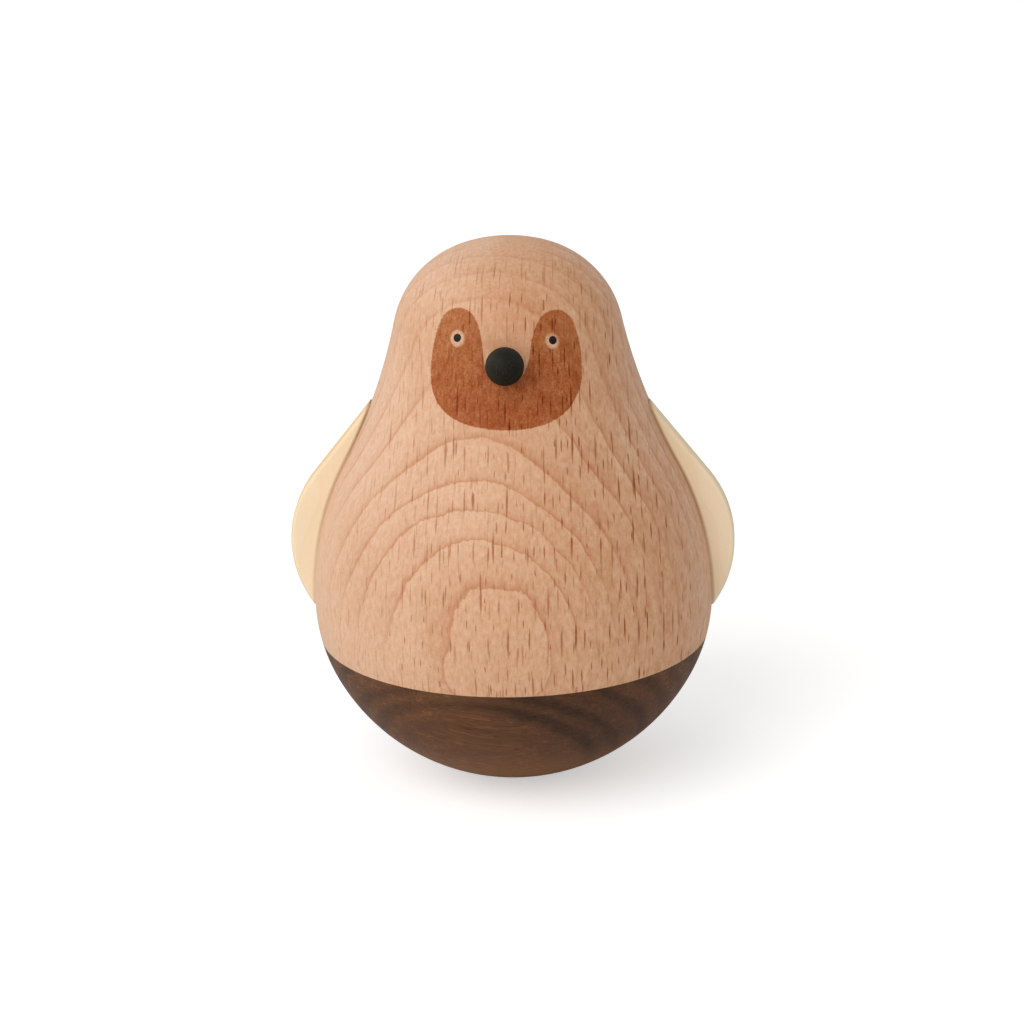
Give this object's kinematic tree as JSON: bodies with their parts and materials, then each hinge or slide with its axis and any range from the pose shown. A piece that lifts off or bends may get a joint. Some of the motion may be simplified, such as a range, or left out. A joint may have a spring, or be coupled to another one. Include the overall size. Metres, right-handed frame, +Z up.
{
  "type": "wooden bird figurine",
  "caption": "Turned wooden bird figurine with a weighted round base that rocks, flat wings let into its sides, a ball nose and pin eyes.",
  "frame": {"origin": "middle of the small flat under the base that the figurine rests on", "axes": "+Z up through the crown of the head, -Y the way the face looks, +X towards the wing on the right as seen from the front"},
  "size_m": [0.0668, 0.06, 0.0825],
  "materials": {
    "beech": "oiled satin, face patch stained brown",
    "walnut": "oiled satin",
    "maple": "oiled satin",
    "black_wood": "stained black, matt",
    "dowel_wood": "raw",
    "steel": "turned",
    "brass": "bright"
  },
  "bodies": {
    "root": {"body": "beech", "base": "walnut", "left_wing": "maple", "right_wing": "maple", "nose_bead": "black_wood", "nose_peg": "dowel_wood", "left_pupil": "black_wood", "right_pupil": "black_wood", "ballast_slug": "steel", "ballast_screw": "brass"}
  },
  "joints": []
}
